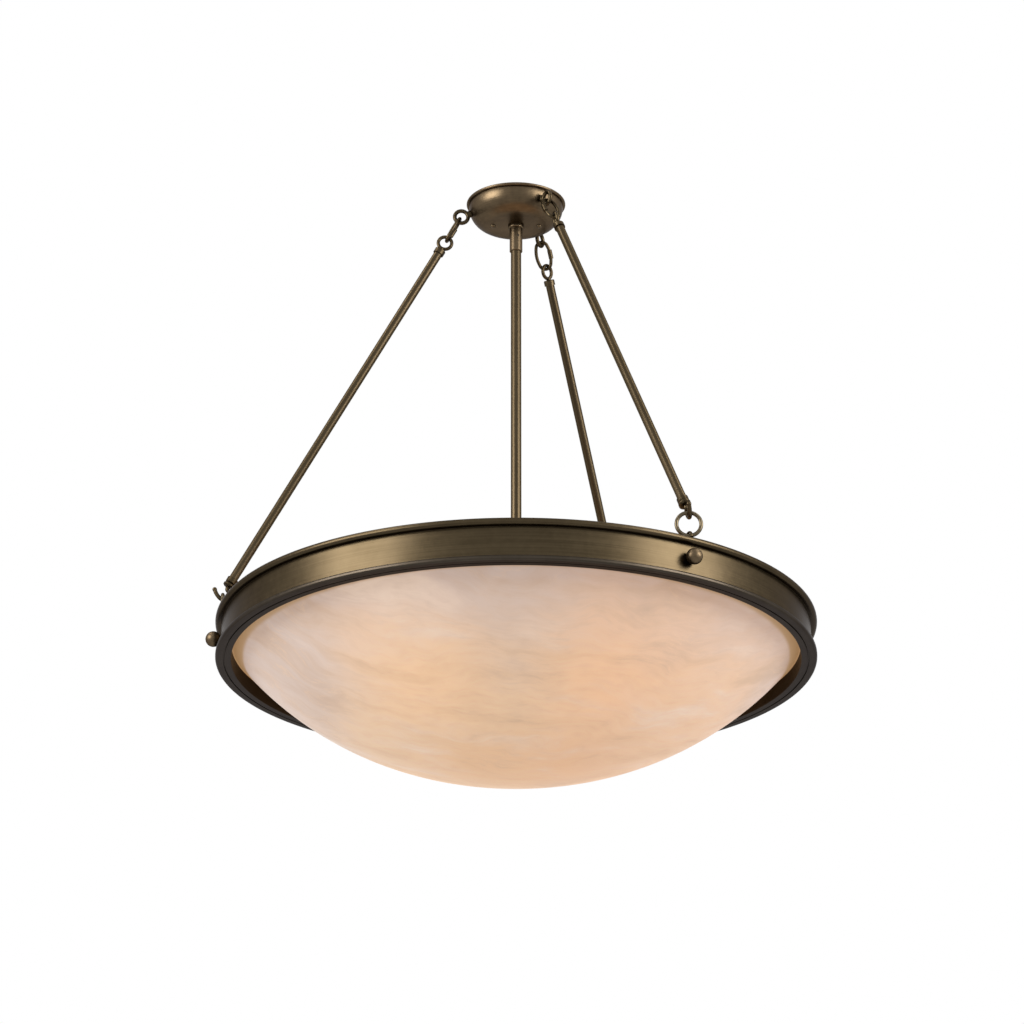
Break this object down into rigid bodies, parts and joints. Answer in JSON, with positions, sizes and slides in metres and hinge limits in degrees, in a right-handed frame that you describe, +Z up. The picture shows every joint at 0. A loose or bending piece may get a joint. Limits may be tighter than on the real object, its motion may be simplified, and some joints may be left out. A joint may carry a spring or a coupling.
{
  "type": "bowl pendant light",
  "caption": "Round stone bowl in a banded metal frame, hung from a domed ceiling canopy by rods with loops, links and open hooks, with a centre stem and lamp cluster.",
  "frame": {"origin": "middle of the canopy's ceiling plane, on the stem's axis", "axes": "+Z up into the ceiling, +X to the viewer's right, +Y away from the viewer"},
  "size_m": [0.7731, 0.762, 0.787],
  "materials": {
    "canopy_finish": "aged bronze tone, satin",
    "crossbar_zinc": "zinc plated",
    "screw_metal": "plated, satin",
    "nipple_zinc": "yellow zinc plated",
    "collar_finish": "aged bronze tone, satin",
    "stem_finish": "aged bronze tone, drawn",
    "cluster_finish": "aged bronze tone, turned",
    "holder_ceramic": "glazed",
    "bulb_glass": "frosted, lit",
    "chain_finish": "aged bronze tone, rubbed",
    "rod_finish": "aged bronze tone, drawn",
    "ball_finish": "aged bronze tone, polished",
    "band_finish": "aged bronze tone, brushed round",
    "trim_finish": "aged bronze tone, brushed round",
    "gasket_felt": "felt",
    "alabaster": "honed, softly glowing"
  },
  "bodies": {
    "fixture": {"canopy": "canopy_finish", "crossbar": "crossbar_zinc", "canopy_screws": "screw_metal", "centre_nipple": "nipple_zinc", "lock_nuts": "nipple_zinc", "stem_collar": "collar_finish", "collar_set_screw": "screw_metal", "stem": "stem_finish", "cluster_body": "cluster_finish", "cluster_finial": "cluster_finish", "lamp_arm_1": "cluster_finish", "lamp_arm_2": "cluster_finish", "lamp_arm_3": "cluster_finish", "lamp_arm_4": "cluster_finish", "lamp_holder_1": "holder_ceramic", "lamp_holder_2": "holder_ceramic", "lamp_holder_3": "holder_ceramic", "lamp_holder_4": "holder_ceramic", "bulb_1": "bulb_glass", "bulb_2": "bulb_glass", "bulb_3": "bulb_glass", "bulb_4": "bulb_glass", "canopy_loop_left": "chain_finish", "canopy_loop_rear": "chain_finish", "canopy_loop_front": "chain_finish", "loop_nut_left": "chain_finish", "loop_nut_rear": "chain_finish", "loop_nut_front": "chain_finish"},
    "frame": {"frame_band": "band_finish", "bottom_trim": "trim_finish", "bowl_gasket": "gasket_felt", "frame_hook_left": "chain_finish", "frame_hook_rear": "chain_finish", "frame_hook_front": "chain_finish", "ball_nut_left": "ball_finish", "ball_nut_rear": "ball_finish", "ball_nut_front": "ball_finish", "hang_ring_left": "chain_finish", "hang_ring_rear": "chain_finish", "hang_ring_front": "chain_finish"},
    "bowl": {"bowl": "alabaster"},
    "leg_left": {"chain_link_left": "chain_finish", "rod_eye_left": "chain_finish", "rod_left": "rod_finish", "rod_hook_left": "chain_finish"},
    "leg_rear": {"chain_link_rear": "chain_finish", "rod_eye_rear": "chain_finish", "rod_rear": "rod_finish", "rod_hook_rear": "chain_finish"},
    "leg_front": {"chain_link_front": "chain_finish", "rod_eye_front": "chain_finish", "rod_front": "rod_finish", "rod_hook_front": "chain_finish"}
  },
  "joints": [
    {"name": "frame_twist", "type": "hinge", "parent": "fixture", "child": "frame", "pos_m": [0, 0, -0.6], "axis": [0, 0, 1], "range_deg": [-3, 3]},
    {"name": "leg_left_swing", "type": "hinge", "parent": "fixture", "child": "leg_left", "pos_m": [-0.07652, -0.00481, -0.02969], "axis": [-0.8726, -0.0549, 0.4854], "range_deg": [-1.9, 1.9]},
    {"name": "leg_rear_swing", "type": "hinge", "parent": "fixture", "child": "leg_rear", "pos_m": [0.03409, 0.06868, -0.02969], "axis": [0.3887, 0.7831, 0.4854], "range_deg": [-1.9, 1.9]},
    {"name": "leg_front_swing", "type": "hinge", "parent": "fixture", "child": "leg_front", "pos_m": [0.04243, -0.06386, -0.02969], "axis": [0.4838, -0.7282, 0.4854], "range_deg": [-1.9, 1.9]},
    {"name": "bowl_lift", "type": "slide", "parent": "frame", "child": "bowl", "axis": [0, 0, 1], "range_m": [0, 0.025]}
  ],
  "couplings": [
    {"joint": "leg_left_swing", "follows": "frame_twist", "ratio": 0.6112},
    {"joint": "leg_rear_swing", "follows": "frame_twist", "ratio": 0.6112},
    {"joint": "leg_front_swing", "follows": "frame_twist", "ratio": 0.6112}
  ]
}
